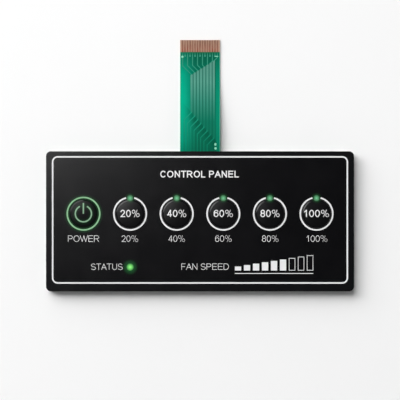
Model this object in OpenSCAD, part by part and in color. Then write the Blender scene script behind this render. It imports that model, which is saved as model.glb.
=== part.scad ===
// Membrane keypad: a printed face film over snap domes on a flexible circuit with a contact tail.
// Millimetres. The origin is the middle of the rear face, +X runs along the key row,
// +Y points to the tail and +Z points to the user.

/* [Panel] */
// Width of the panel along the key row
panel_w = 154; // [146:1:200]
// Height of the panel
panel_h = 70; // [66:1:100]
// Corner radius of every layer
corner_r = 2.4; // [0.5:0.1:4]

/* [Layers] */
// Thickness of the release liner on the rear
liner_t = 0.1; // [0.05:0.01:0.2]
// Thickness of the adhesive that holds the panel to an enclosure
mounting_adhesive_t = 0.15; // [0.05:0.01:0.3]
// Thickness of the backing plate
plate_t = 1.5; // [1:0.1:3]
// Thickness of the adhesive between plate and circuit
circuit_adhesive_t = 0.13; // [0.05:0.01:0.3]
// Thickness of the flexible circuit and its tail
circuit_t = 0.2; // [0.1:0.05:0.3]
// Thickness of the spacer that surrounds the domes and lamps
spacer_t = 0.6; // [0.55:0.05:1]
// Thickness of the adhesive under the face film
overlay_adhesive_t = 0.13; // [0.05:0.01:0.3]
// Thickness of the face film
overlay_t = 0.25; // [0.15:0.05:0.4]
// Thickness of the copper pads, tracks and contact fingers
copper_t = 0.035; // [0.02:0.005:0.1]
// Thickness of the printed ink
ink_t = 0.02; // [0.01:0.005:0.05]

/* [Keys] */
// Distance between neighbouring keys
key_pitch = 23.3; // [20:0.1:26]
// Height of the key row above the middle of the panel
key_row_y = 3.8; // [-4:0.1:8]
// Diameter of the raised key across its shoulder
key_crown_d = 12.9; // [11.5:0.1:13.5]
// Rise of the key above the film at its middle
key_rise = 0.7; // [0.5:0.05:0.9]
// Radius of the rounded shoulder of a key
shoulder_r = 1; // [0.8:0.05:1.4]
// Radius of the shallow crown of a key
crown_r = 75; // [50:1:100]
// Travel of a key from rest to its stop
key_travel = 0.4; // [0.2:0.05:0.45]

/* [Domes and plungers] */
// Diameter of a snap dome over its legs
dome_d = 10; // [8:0.1:11]
// Thickness of the dome's steel
dome_t = 0.1; // [0.05:0.01:0.12]
// Width of the flat foot at the end of each leg
dome_foot_w = 0.3; // [0.2:0.05:0.5]
// Radius of the bites between the legs
dome_bite_r = 2.8; // [2:0.1:3.2]
// Depth of the bites between the legs
dome_bite_depth = 1.2; // [0.8:0.1:1.6]
// Number of legs on a dome
dome_legs = 4; // [3:1:4]
// Diameter of the plunger disc under a key
plunger_d = 9.4; // [7:0.1:10]
// Thickness of the plunger disc at its middle
plunger_t = 0.55; // [0.4:0.05:0.6]
// Diameter of the plunger's nub on the dome
nub_d = 3.2; // [2:0.1:5]
// Diameter of the contact pad under the middle of a dome
centre_pad_d = 4; // [3:0.1:5]
// Width of the ring pad under the dome's feet
ring_pad_w = 1.3; // [1:0.1:1.6]

/* [Lamps] */
// Distance from a key's middle to its lamp
lamp_offset = 7.8; // [7.5:0.1:9]
// Length of a lamp along the key row
lamp_l = 2; // [1.6:0.1:2.4]
// Width of a lamp
lamp_w = 1.25; // [0.8:0.05:1.6]
// Height of a lamp
lamp_h = 0.5; // [0.3:0.05:0.5]
// Length of a lamp's lens block
lens_l = 1.4; // [1:0.05:1.5]
// Height of a lamp's base under the lens block
lamp_base_h = 0.25; // [0.1:0.05:0.25]
// Radius of the plated notch at each end of a lamp
lamp_notch_r = 0.25; // [0.1:0.05:0.25]
// Diameter of the printed window over a key's lamp
window_d = 3.2; // [2:0.1:4]
// Diameter of the printed window over the status lamp
status_window_d = 3.6; // [2:0.1:4]
// Height of the status lamp below the middle of the panel
status_drop = 22.9; // [18:0.1:26]
// Width of the ring that carries light round the power key
light_guide_w = 3.9; // [3:0.1:4.2]

/* [Tail] */
// Length of the tail from the panel's edge to its tip
tail_len = 56; // [48:0.5:120]
// Number of contact fingers
contact_count = 15; // [9:2:21]
// Distance between neighbouring contact fingers
contact_pitch = 1.25; // [1:0.05:1.27]
// Width of a contact finger
contact_w = 0.85; // [0.5:0.05:0.95]
// Length of a contact finger
contact_len = 6; // [4:0.5:8]
// Thickness of the stiffener under the contact fingers
stiffener_t = 0.2; // [0.1:0.05:0.3]
// Length of the stiffener beyond the fingers
stiffener_overhang = 1; // [0.5:0.1:1.2]
// Straight length of the tail at the panel's edge
tail_lead = 4; // [2:0.5:6]
// Straight length of the tail that lies flat at its tip
tail_flat = 15; // [12:0.5:18]

/* [Tail tracks] */
// Width of a narrow track
track_w = 0.5; // [0.3:0.05:0.6]
// Width of a track in the wide field
field_track_w = 1; // [0.6:0.05:1.1]
// Distance between neighbouring tracks of the wide field
field_pitch = 1.6; // [1.5:0.05:1.8]
// Offset of the field's last track to the left of the last finger
field_inset = 1.8; // [0.8:0.1:2.2]
// Distance between neighbouring tracks where they enter the panel
fan_pitch = 1.65; // [1.6:0.05:2]
// Offset of the first track at the panel to the right of the first finger
fan_inset = 0.8; // [0.5:0.1:1.2]
// Distance from the fingers to the upper bend on the left
upper_bend_left = 11.4; // [10:0.1:13]
// Distance from the fingers to the upper bend on the right
upper_bend_right = 4.5; // [4:0.1:6]
// Distance from the panel to the lower bend on the left
lower_bend_left = 19.6; // [16:0.1:20]
// Distance from the panel to the lower bend on the right
lower_bend_right = 6.6; // [5:0.1:9]
// Distance from the fingers to the row of through-plated pads
via_offset = 2; // [1.8:0.1:2.5]
// Diameter of a through-plated pad
via_d = 0.9; // [0.6:0.05:1]

/* [Print] */
// Width of the border line
border_line = 0.75; // [0.4:0.05:1.5]
// Corner radius of the border line's outer edge
border_r = 2.9; // [1.5:0.1:5]
// Distance from the side edges to the border line
border_side = 2.95; // [1.5:0.05:5]
// Distance from the top edge to the border line
border_top = 2.4; // [1.5:0.05:5]
// Distance from the bottom edge to the border line
border_bottom = 3.8; // [1.5:0.05:5]
// Diameter of a key ring at the middle of its line
ring_d = 16.24; // [15.8:0.02:18]
// Width of a key ring's line
ring_line = 0.8; // [0.4:0.05:1.2]
// Angle of the gap that a ring leaves for its lamp window
ring_gap = 29; // [24:1:40]
// Number of bars in the level graph
bar_count = 9; // [5:1:9]
// Number of bars that are printed solid
solid_bars = 6; // [0:1:9]
// Distance between neighbouring bars
bar_pitch = 4.5; // [4:0.1:4.8]
// Width of a bar
bar_w = 3.15; // [2:0.05:3.8]
// Height of the first bar
first_bar_h = 2; // [1.6:0.1:4]
// Height that each bar adds to the one before
bar_step = 0.7; // [0.3:0.05:0.9]
// Line width of an outlined bar
bar_line = 0.25; // [0.2:0.05:0.7]
// Left end of the level graph from the middle of the panel
graph_x = 17.45; // [10:0.05:30]
// Foot of the bars below the middle of the panel
graph_drop = 24.6; // [20:0.1:28]
// Gap between the bars and the line under them
underline_gap = 1.3; // [0.5:0.1:2]
// Width of the line under the bars
underline_w = 0.35; // [0.3:0.05:1]

/* [Clearances] */
// Gap between a plunger and the film above or the dome below
touch_gap = 0.05; // [0.03:0.01:0.1]
// Gap round a dome or light guide in the spacer
pocket_gap = 0.2; // [0.1:0.05:0.4]
// Gap round a lamp in the spacer
lamp_gap = 0.6; // [0.4:0.05:0.8]
// Gap between a key's foot and the adhesive round it
adhesive_gap = 0.2; // [0.1:0.05:0.3]
// Width of the air channels that join the pockets
vent_w = 1; // [0.5:0.1:1.5]

/* [Hidden] */
$fn = 96;
// Segments of the large shallow arcs
arc_fn = 256;
// Overshoot of a cutting tool past the face it cuts
over = 1;

// Keys from left to right, where the first one has the closed ring and the light guide
key_names = ["power", "20", "40", "60", "80", "100"];
key_count = len(key_names);
power_key = 0;
status_key = 1;
function key_x(i) = (i - (key_count - 1) / 2) * key_pitch;

// Height of the underside of each layer, from the rear face upwards
mounting_adhesive_z = liner_t;
plate_z = mounting_adhesive_z + mounting_adhesive_t;
circuit_adhesive_z = plate_z + plate_t;
circuit_z = circuit_adhesive_z + circuit_adhesive_t;
spacer_z = circuit_z + circuit_t;
overlay_adhesive_z = spacer_z + spacer_t;
overlay_z = overlay_adhesive_z + overlay_adhesive_t;
face_z = overlay_z + overlay_t;

// The shoulder's arc stands a little above the crown's arc, so the two meet in a faint edge
shoulder_lift = 0.02;
crown_x = key_crown_d / 2;
crown_centre = key_rise - crown_r;
shoulder_z = crown_centre + sqrt(pow(crown_r - shoulder_r, 2) - pow(crown_x, 2)) + shoulder_lift;
key_foot_r = crown_x + sqrt(pow(shoulder_r, 2) - pow(shoulder_z, 2));

// A pressed dome turns flat, so its inner rise is the travel
pad_z = spacer_z + copper_t;
dome_span = dome_d / 2 - dome_foot_w;
dome_r = (pow(dome_span, 2) + pow(key_travel, 2)) / (2 * key_travel);
dome_top = pad_z + key_travel + dome_t;
ring_pad_d = dome_d + pocket_gap;
pocket_d = dome_d + 2 * pocket_gap;
plunger_crown_r = crown_r - overlay_t - touch_gap;
plunger_top = face_z + key_rise - overlay_t - touch_gap;

lamp_pocket_d = norm([lamp_l, lamp_w]) + 2 * lamp_gap;
light_guide_d = pocket_d + 2 * light_guide_w;
lamp_names = concat(key_names, ["status"]);
function lamp_place(i) = i < key_count
    ? [key_x(i), key_row_y + lamp_offset]
    : [key_x(status_key), -status_drop];

// The tail leaves the panel level, sinks in one smooth double bend and ends flat on its stiffener
tail_w = (contact_count + 1) * contact_pitch;
tail_y = panel_h / 2;
tail_tip = tail_y + tail_len;
tail_mid_z = circuit_z + circuit_t / 2;
tail_drop = circuit_z - stiffener_t;
bend_len = tail_len - tail_lead - tail_flat;
bend_y = tail_y + tail_lead;
bend_steps = 12;
// Length of the tail's root that is joined to the circuit inside the panel
tail_root = 5;
finger_y = tail_tip - contact_len;
finger_z = stiffener_t + circuit_t;

// Every second finger has its track on the upper face of the tail, the others below
top_tracks = (contact_count + 1) / 2;
function finger_x(i) = (i - (contact_count - 1) / 2) * contact_pitch;
function field_x(i) = finger_x(contact_count - 1) - field_inset - (top_tracks - 1 - i) * field_pitch;
function fan_x(i) = finger_x(0) + fan_inset + i * fan_pitch;
function between(i, left, right) = left + (right - left) * i / (top_tracks - 1);

// Shapes that several pieces share

module rounded_rectangle(w, h, r) {
    difference() {
        square([w, h], center = true);
        for (x = [-1, 1], y = [-1, 1])
            translate([x * (w / 2 - r), y * (h / 2 - r)])
                difference() {
                    translate([x > 0 ? 0 : -r - over, y > 0 ? 0 : -r - over]) square(r + over);
                    circle(r);
                }
    }
}

module panel_outline() rounded_rectangle(panel_w, panel_h, corner_r);

module layer(z, t) translate([0, 0, z]) linear_extrude(t) children();

module at_keys() for (i = [0 : key_count - 1]) translate([key_x(i), key_row_y]) children();

module at_lamps() for (i = [0 : key_count]) translate(lamp_place(i)) children();

// Half section of a raised key above the film, shrunk by inset for its hollow underside
module key_section(inset, foot) {
    intersection() {
        translate([0, crown_centre]) circle(crown_r - inset, $fn = arc_fn);
        union() {
            translate([0, foot]) square([crown_x, key_rise + over - foot]);
            translate([crown_x, shoulder_z]) circle(shoulder_r - inset);
        }
        translate([0, foot]) square([key_foot_r + over, key_rise + over - foot]);
    }
}

module raised_key(inset, foot) translate([0, 0, face_z]) rotate_extrude() key_section(inset, foot);

// Side section of the tail between two heights above its middle surface, with y to the right
function bend_point(t, rise) = let (
    slope = -tail_drop / bend_len * 6 * t * (1 - t),
    normal = [-slope, 1] / norm([-slope, 1]))
    [bend_y + t * bend_len, tail_mid_z - tail_drop * t * t * (3 - 2 * t)] + rise * normal;
function tail_edge(rise) = concat(
    [[tail_y - tail_root, tail_mid_z + rise]],
    [for (i = [0 : bend_steps]) bend_point(i / bend_steps, rise)],
    [[tail_tip, tail_mid_z - tail_drop + rise]]);
function reversed(list) = [for (i = [len(list) - 1 : -1 : 0]) list[i]];

module tail_section(low, high) polygon(concat(tail_edge(low), reversed(tail_edge(high))));

module tail_slab(low, high, w) {
    translate([-w / 2, 0, 0])
        rotate([90, 0, 90]) linear_extrude(w) tail_section(low, high);
}

// Outline of a track of width w along a path, with mitred corners
function unit(v) = v / norm(v);
function left_of(a, b) = let (d = unit(b - a)) [-d[1], d[0]];
function mitre(path, i, s) = let (
    last = len(path) - 1,
    before = left_of(path[max(i - 1, 0)], path[max(i, 1)]),
    after = left_of(path[min(i, last - 1)], path[min(i + 1, last)]))
    path[i] + s * (before + after) / (1 + before * after);
function track_outline(path, w) = concat(
    [for (i = [0 : len(path) - 1]) mitre(path, i, w / 2)],
    reversed([for (i = [0 : len(path) - 1]) mitre(path, i, -w / 2)]));

// A step to the side at 45 degrees, left out where the track runs straight on
shortest_step = 0.02;
function side_step(from_x, to_x, y) = abs(to_x - from_x) < shortest_step
    ? [] : [[from_x, y + abs(to_x - from_x)], [to_x, y]];

// Track on the upper face: from its finger into the wide field, then into the fan at the panel
module top_track(i) {
    finger = finger_x(2 * i);
    field = field_x(i);
    fan = fan_x(i);
    upper = finger_y - between(i, upper_bend_left, upper_bend_right);
    lower = tail_y + between(i, lower_bend_left, lower_bend_right);
    polygon(track_outline(concat(
        [[finger, finger_y]],
        side_step(finger, field, upper),
        side_step(field, fan, lower - abs(fan - field)),
        [[fan, tail_y]]), track_w));
    translate([field - field_track_w / 2, lower]) square([field_track_w, upper - lower]);
}

// Short track from a finger to its through-plated pad
module via_track(x) {
    translate([x - track_w / 2, finger_y - via_offset]) square([track_w, via_offset]);
    translate([x, finger_y - via_offset]) circle(d = via_d, $fn = 32);
}

// Track on the lower face, straight from its through-plated pad to the panel
module rear_track(x) {
    translate([x - track_w / 2, tail_y]) square([track_w, tail_len - contact_len - via_offset]);
    translate([x, finger_y - via_offset]) circle(d = via_d, $fn = 32);
}

// Pieces, from the face to the rear

module graphic_overlay() color([0.10, 0.10, 0.11]) {
    difference() {
        union() {
            layer(overlay_z, overlay_t) panel_outline();
            at_keys() raised_key(0, -overlay_t / 2);
        }
        at_keys() raised_key(overlay_t, -overlay_t - overlay_adhesive_t);
    }
}

module border() {
    outer_w = panel_w - 2 * border_side;
    outer_h = panel_h - border_top - border_bottom;
    translate([0, (border_bottom - border_top) / 2])
        difference() {
            rounded_rectangle(outer_w, outer_h, border_r);
            rounded_rectangle(outer_w - 2 * border_line, outer_h - 2 * border_line,
                              border_r - border_line);
        }
}

module ring() {
    difference() {
        circle(d = ring_d + ring_line);
        circle(d = ring_d - ring_line);
    }
}

module open_ring() {
    reach = ring_d;
    half_gap = reach * tan(ring_gap / 2);
    difference() {
        ring();
        polygon([[0, 0], [half_gap, reach], [-half_gap, reach]]);
    }
}

module bar(i) {
    h = first_bar_h + i * bar_step;
    translate([graph_x + i * bar_pitch, -graph_drop])
        difference() {
            square([bar_w, h]);
            if (i >= solid_bars)
                translate([bar_line, bar_line]) square([bar_w - 2 * bar_line, h - 2 * bar_line]);
        }
}

module level_graph() {
    for (i = [0 : bar_count - 1]) bar(i);
    translate([graph_x, -graph_drop - underline_gap - underline_w])
        square([(bar_count - 1) * bar_pitch + bar_w, underline_w]);
}

module white_print() color([0.90, 0.91, 0.90]) {
    layer(face_z, ink_t) border();
    layer(face_z, ink_t) level_graph();
    for (i = [power_key + 1 : key_count - 1])
        layer(face_z, ink_t) translate([key_x(i), key_row_y]) open_ring();
}

// Ink inside a circle over a lamp, which lies on the film and climbs the edge of the key beside it
module lamp_window(i) {
    difference() {
        intersection() {
            layer(face_z, key_rise) translate(lamp_place(i)) circle(d = window_d);
            union() {
                layer(face_z, ink_t) translate(lamp_place(i)) square(2 * window_d, center = true);
                translate([key_x(i), key_row_y]) raised_key(-ink_t, 0);
            }
        }
        translate([key_x(i), key_row_y]) raised_key(0, -overlay_t / 2);
    }
}

module green_windows() color([0.45, 0.80, 0.50]) {
    layer(face_z, ink_t) translate([key_x(power_key), key_row_y]) ring();
    for (i = [power_key + 1 : key_count - 1]) lamp_window(i);
    layer(face_z, ink_t) translate(lamp_place(key_count)) circle(d = status_window_d);
}

module overlay_adhesive() color([0.80, 0.82, 0.80, 0.6]) {
    layer(overlay_adhesive_z, overlay_adhesive_t)
        difference() {
            panel_outline();
            at_keys() circle(key_foot_r + adhesive_gap);
            at_lamps() circle(d = lamp_pocket_d);
        }
}

// Air channel along the key row, through every dome's pocket
module row_vent() {
    translate([key_x(0), key_row_y - vent_w / 2]) square([(key_count - 1) * key_pitch, vent_w]);
}

module dome_spacer() color([0.16, 0.16, 0.17]) {
    layer(spacer_z, spacer_t)
        difference() {
            panel_outline();
            at_keys() circle(d = pocket_d);
            at_keys() translate([-vent_w / 2, 0]) square([vent_w, lamp_offset]);
            at_lamps() circle(d = lamp_pocket_d);
            translate([key_x(power_key), key_row_y]) circle(d = light_guide_d + 2 * pocket_gap);
            row_vent();
        }
}

module light_guide_ring() color([0.75, 0.85, 0.80, 0.6]) {
    layer(spacer_z, spacer_t)
        difference() {
            translate([key_x(power_key), key_row_y]) circle(d = light_guide_d);
            translate([key_x(power_key), key_row_y]) circle(d = pocket_d);
            translate(lamp_place(power_key)) circle(d = lamp_pocket_d);
            row_vent();
        }
}

module plunger() color([0.85, 0.88, 0.88, 0.7]) {
    disc_z = plunger_top - plunger_t;
    rotate_extrude() {
        intersection() {
            translate([0, plunger_top - plunger_crown_r]) circle(plunger_crown_r, $fn = arc_fn);
            translate([0, disc_z]) square([plunger_d / 2, plunger_t + over]);
        }
        translate([0, dome_top + touch_gap])
            square([nub_d / 2, disc_z + plunger_t / 2 - dome_top - touch_gap]);
    }
}

module dome() color([0.78, 0.78, 0.76]) {
    difference() {
        translate([0, 0, pad_z])
            rotate_extrude()
                intersection() {
                    translate([0, key_travel - dome_r])
                        difference() {
                            circle(dome_r + dome_t, $fn = arc_fn);
                            circle(dome_r, $fn = arc_fn);
                        }
                    square([dome_d / 2, key_travel + dome_t + over]);
                }
        for (leg = [0 : dome_legs - 1])
            rotate(leg * 360 / dome_legs)
                translate([dome_d / 2 - dome_bite_depth + dome_bite_r, 0, pad_z - over])
                    cylinder(r = dome_bite_r, h = key_travel + dome_t + 2 * over);
    }
}

module dome_contact_pads() color([0.86, 0.70, 0.42]) {
    layer(spacer_z, copper_t)
        at_keys() {
            circle(d = centre_pad_d);
            difference() {
                circle(d = ring_pad_d);
                circle(d = ring_pad_d - 2 * ring_pad_w);
            }
        }
}

// Surface-mount lamp: a white base with plated ends and a clear lens block
module lamp() color([0.90, 0.90, 0.80]) {
    difference() {
        union() {
            layer(spacer_z, lamp_base_h) square([lamp_l, lamp_w], center = true);
            layer(spacer_z, lamp_h) square([lens_l, lamp_w], center = true);
        }
        for (side = [-1, 1])
            translate([side * lamp_l / 2, 0, spacer_z - over])
                cylinder(r = lamp_notch_r, h = lamp_base_h + 2 * over);
    }
}

module flex_circuit() color([0.05, 0.50, 0.40]) {
    layer(circuit_z, circuit_t) panel_outline();
    tail_slab(-circuit_t / 2, circuit_t / 2, tail_w);
}

module copper_tracks() color([0.42, 0.66, 0.58]) {
    intersection() {
        tail_slab(circuit_t / 2, circuit_t / 2 + copper_t, tail_w);
        linear_extrude(face_z) {
            for (i = [0 : top_tracks - 1]) top_track(i);
            for (i = [1 : 2 : contact_count - 2]) via_track(finger_x(i));
        }
    }
    intersection() {
        tail_slab(-circuit_t / 2 - copper_t, -circuit_t / 2, tail_w);
        linear_extrude(face_z)
            for (i = [1 : 2 : contact_count - 2]) rear_track(finger_x(i));
    }
}

module contact_fingers() color([0.66, 0.50, 0.41]) {
    layer(finger_z, copper_t)
        for (i = [0 : contact_count - 1])
            translate([finger_x(i) - contact_w / 2, finger_y]) square([contact_w, contact_len]);
}

module tail_stiffener() color([0.55, 0.40, 0.15]) {
    translate([-tail_w / 2, finger_y - stiffener_overhang, 0])
        cube([tail_w, contact_len + stiffener_overhang, stiffener_t]);
}

module circuit_adhesive() color([0.85, 0.85, 0.80]) {
    layer(circuit_adhesive_z, circuit_adhesive_t) panel_outline();
}

module backing_plate() color([0.20, 0.20, 0.21]) {
    layer(plate_z, plate_t) panel_outline();
}

module mounting_adhesive() color([0.90, 0.90, 0.86]) {
    layer(mounting_adhesive_z, mounting_adhesive_t) panel_outline();
}

module release_liner() color([0.93, 0.90, 0.80]) {
    layer(0, liner_t) panel_outline();
}

graphic_overlay();
white_print();
green_windows();
overlay_adhesive();
dome_spacer();
light_guide_ring();
flex_circuit();
copper_tracks();
contact_fingers();
dome_contact_pads();
circuit_adhesive();
backing_plate();
mounting_adhesive();
release_liner();
tail_stiffener();
for (i = [0 : key_count - 1]) translate([key_x(i), key_row_y, 0]) {
    plunger();
    dome();
}
for (i = [0 : key_count]) translate(lamp_place(i))
    lamp();
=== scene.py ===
# %% [markdown]
# # A membrane keypad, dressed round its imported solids
# A membrane keypad is a stack of thin sheets. A printed face film lies on top, with round keys
# pressed up out of it. Snap domes and lamps lie under it on a green flexible circuit, and the circuit
# runs out of the panel as a tail with bare contacts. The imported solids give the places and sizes, and
# this lesson gives the stack its surfaces: satin film, ink, lit windows, laminate and copper.

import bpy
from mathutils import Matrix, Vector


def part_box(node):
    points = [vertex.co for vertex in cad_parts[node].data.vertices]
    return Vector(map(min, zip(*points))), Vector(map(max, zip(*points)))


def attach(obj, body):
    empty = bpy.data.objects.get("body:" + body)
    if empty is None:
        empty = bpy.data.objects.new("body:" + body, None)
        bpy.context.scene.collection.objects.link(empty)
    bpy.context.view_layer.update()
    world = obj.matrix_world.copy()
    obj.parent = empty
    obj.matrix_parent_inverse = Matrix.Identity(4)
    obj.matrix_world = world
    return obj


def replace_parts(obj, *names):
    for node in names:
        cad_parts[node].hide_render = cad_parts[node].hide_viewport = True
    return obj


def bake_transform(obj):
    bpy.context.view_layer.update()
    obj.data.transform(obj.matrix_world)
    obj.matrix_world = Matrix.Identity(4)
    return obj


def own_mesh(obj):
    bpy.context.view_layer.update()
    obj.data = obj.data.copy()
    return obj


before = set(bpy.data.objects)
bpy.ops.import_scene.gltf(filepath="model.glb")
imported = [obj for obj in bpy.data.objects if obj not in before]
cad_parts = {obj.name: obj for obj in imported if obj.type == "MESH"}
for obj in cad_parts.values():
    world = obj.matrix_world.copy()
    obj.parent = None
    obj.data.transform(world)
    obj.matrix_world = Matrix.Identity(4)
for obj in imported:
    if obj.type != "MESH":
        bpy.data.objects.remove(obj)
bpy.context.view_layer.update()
print("CAD nodes:", len(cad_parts))

# %% [markdown]
# Meshes are built with bmesh, Blender's own tool kit for points, edges and faces. The frame is in
# metres and a keypad is measured in millimetres, so one named factor turns the one into the other.

# %% Modules and the unit
import math

import bmesh
import bpy
from mathutils import Matrix, Vector

MM = 0.001
UP = (0, 0, 1)
print("one millimetre is", MM, "of the frame's units")

# %% [markdown]
# ## Where things are
# The boxes of the solids say where the keys, the lamps and the face are, so no place is typed twice.
# Only sizes that no box shows, such as the curve of a key, are written out again here.

# %% Read places from the frame
KEYS = ["power", "20", "40", "60", "80", "100"]
FAN_KEYS = KEYS[1:]


def middle(node):
    """Middle of a solid's box."""
    low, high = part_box(node)
    return (low + high) / 2


key_at = {key: middle("plunger_" + key) for key in KEYS}
lamp_at = {lamp: middle("led_" + lamp) for lamp in KEYS + ["status"]}
panel_low, panel_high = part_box("backing_plate")
film_low, film_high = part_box("graphic_overlay")
face_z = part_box("white_print")[0].z
ink_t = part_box("white_print")[1].z - face_z
film_t = face_z - film_low.z
key_rise = film_high.z - face_z
print("face at", round(face_z / MM, 3), "mm, key rise", round(key_rise / MM, 3), "mm")

# %% [markdown]
# A raised key has a shallow crown, then a soft shoulder and at last a tight one that runs down to the
# flat film. Each is a round arc that starts where the one before ends, at the same tilt.

# %% The curve of a raised key
CROWN_R = 75 * MM
SOFT_R = 1.7 * MM
TIGHT_R = 1 * MM
CROWN_EDGE = 6.4 * MM
SOFT_TILT = math.radians(24)

crown_tilt = math.asin(CROWN_EDGE / CROWN_R)
crown_edge_rise = key_rise - CROWN_R * (1 - math.cos(crown_tilt))
soft_edge = CROWN_EDGE + SOFT_R * (math.sin(SOFT_TILT) - math.sin(crown_tilt))
soft_edge_rise = crown_edge_rise - SOFT_R * (math.cos(crown_tilt) - math.cos(SOFT_TILT))
foot_tilt = math.acos(math.cos(SOFT_TILT) - soft_edge_rise / TIGHT_R)
key_foot = soft_edge + TIGHT_R * (math.sin(foot_tilt) - math.sin(SOFT_TILT))


def film_rise(r):
    """Height of the film above the flat face, at a distance from a key's middle."""
    if r <= CROWN_EDGE:
        return key_rise - CROWN_R + math.sqrt(CROWN_R ** 2 - r ** 2)
    if r <= soft_edge:
        tilt = math.asin(math.sin(crown_tilt) + (r - CROWN_EDGE) / SOFT_R)
        return crown_edge_rise - SOFT_R * (math.cos(crown_tilt) - math.cos(tilt))
    if r < key_foot:
        tilt = math.asin(math.sin(SOFT_TILT) + (r - soft_edge) / TIGHT_R)
        return soft_edge_rise - TIGHT_R * (math.cos(SOFT_TILT) - math.cos(tilt))
    return 0.0


print("key foot radius", round(key_foot / MM, 3), "mm")
print("crown edge rise", round(crown_edge_rise / MM, 3), "mm")

# %% [markdown]
# ## The camera
# The picture looks straight down and half a millimetre of the face fills one pixel of 400. A long
# lens from half a metre keeps the sides of the panel out of sight, as in a copy-stand photograph.

# %% Camera above the panel
PICTURE_WIDTH = 200 * MM
PICTURE_MIDDLE = (0, 10.65 * MM)
LENS = 100
SENSOR = 36

camera_data = bpy.data.cameras.new("camera")
camera_data.lens = LENS
camera_data.sensor_width = SENSOR
camera = bpy.data.objects.new("camera", camera_data)
camera.location = (*PICTURE_MIDDLE, face_z + PICTURE_WIDTH * LENS / SENSOR)
bpy.context.scene.collection.objects.link(camera)
bpy.context.scene.camera = camera
bpy.context.scene.view_settings.view_transform = "Standard"
print("camera height", round(camera.location.z, 4), "m")

# %% [markdown]
# ## Studio light
# One large soft lamp stands behind the tail and a smaller, lower one at the left. Together they throw
# the soft shadow to the lower right. A dim card hangs higher, so that the satin film picks up a pale
# sheen that fades across the face. Each lamp is given the share of light that it lays on the table,
# and with the studio walls the shares add up to about one: a colour then renders about as it is
# written. The two big lamps light the panel but aren't mirrored in it, so the film also stays black
# when it is seen from a low place opposite them. The last card is the other way round: it lays no
# light on a matt surface and is only mirrored, as a glint on the shoulders of the keys.

# %% Lamps
KEY_LIGHT_SHARE = 0.615
SIDE_LIGHT_SHARE = 0.22
CARD_SHARE = 0.045
GLINT_SHARE = 0.26


def soft_lamp(name, towards, elevation, distance, width, share, squeeze=1.0):
    """A round or squeezed lamp that faces the panel and lays a share of the light on the table."""
    height = math.sin(math.radians(elevation))
    flat = Vector(towards).normalized() * math.cos(math.radians(elevation))
    direction = Vector((flat.x, flat.y, height))
    lamp_data = bpy.data.lights.new(name, "AREA")
    lamp_data.shape = "ELLIPSE"
    lamp_data.size = width
    lamp_data.size_y = width * squeeze
    lamp_data.energy = share * math.pi ** 2 * (distance ** 2 + (width / 2) ** 2) / height
    lamp = bpy.data.objects.new(name, lamp_data)
    lamp.location = direction * distance
    lamp.rotation_euler = direction.to_track_quat("Z", "Y").to_euler()
    bpy.context.scene.collection.objects.link(lamp)
    print(name, "power", round(lamp_data.energy, 2), "W")
    return lamp


key_light = soft_lamp("key_light", (-0.50, 0.87), 29, 4.0, 4.6, KEY_LIGHT_SHARE)
side_light = soft_lamp("side_light", (-0.85, 0.50), 17, 4.5, 2.5, SIDE_LIGHT_SHARE)
soft_lamp("sheen_card", (-0.78, 0.63), 73, 1.4, 0.30, CARD_SHARE)
glint_card = soft_lamp("glint_card", (-0.77, 0.64), 58, 1.4, 1.0, GLINT_SHARE, squeeze=0.5)
key_light.visible_glossy = False
side_light.visible_glossy = False
glint_card.visible_diffuse = False

# %% [markdown]
# ## Node helpers
# Every finish is a small tree of shader nodes. These helpers fill or link a socket, turn a screen
# colour into the linear one that shaders use, read the place on the object and do one step of
# arithmetic.

# %% Helpers for shader nodes


def feed(tree, socket, value):
    """Links a socket to an output, or writes a constant on it."""
    if isinstance(value, bpy.types.NodeSocket):
        tree.links.new(value, socket)
    elif isinstance(value, tuple) and len(value) == 3 and socket.type == "RGBA":
        socket.default_value = (*value, 1)
    else:
        socket.default_value = value


def shade(red, green, blue):
    """A colour given by the values it has on a screen, from 0 to 255."""
    def linear(v):
        v /= 255
        return v / 12.92 if v <= 0.04045 else ((v + 0.055) / 1.055) ** 2.4
    return (linear(red), linear(green), linear(blue))


def object_point(tree):
    """The place on the object, in metres."""
    return tree.nodes.new("ShaderNodeTexCoord").outputs["Object"]


def number(tree, operation, first, second=0.0, third=0.0):
    """One step of arithmetic."""
    step = tree.nodes.new("ShaderNodeMath")
    step.operation = operation
    for socket, value in zip(step.inputs, (first, second, third)):
        feed(tree, socket, value)
    return step.outputs[0]


print("basic node helpers ready")

# %% [markdown]
# The patterns come next. A fade is a smooth ramp between two values, a speckle is Blender's noise at
# a given size in metres, and grain turns a pattern into fine relief. Noise could also be painted on
# an image, but then it would blur close up and need a seam.

# %% Helpers for patterns and finishes
NOISE_SPAN = (0.3, 0.7)


def fade(tree, value, start, end, low=0.0, high=1.0):
    """Goes smoothly from low to high while value goes from start to end."""
    ramp = tree.nodes.new("ShaderNodeMapRange")
    ramp.interpolation_type = "SMOOTHSTEP"
    settings = {"Value": value, "From Min": start, "From Max": end, "To Min": low, "To Max": high}
    for name, given in settings.items():
        feed(tree, ramp.inputs[name], given)
    return ramp.outputs["Result"]


def mixed(tree, share, first, second):
    """A colour between two colours."""
    mix = tree.nodes.new("ShaderNodeMix")
    mix.data_type = "RGBA"
    for socket, value in zip((mix.inputs[0], mix.inputs[6], mix.inputs[7]), (share, first, second)):
        feed(tree, socket, value)
    return mix.outputs[2]


def speckle(tree, point, size, detail=3.0):
    """Soft random patches of about the given size, from 0 to 1."""
    noise = tree.nodes.new("ShaderNodeTexNoise")
    feed(tree, noise.inputs["Vector"], point)
    noise.inputs["Scale"].default_value = 1 / size
    noise.inputs["Detail"].default_value = detail
    return noise.outputs["Fac"]


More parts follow.
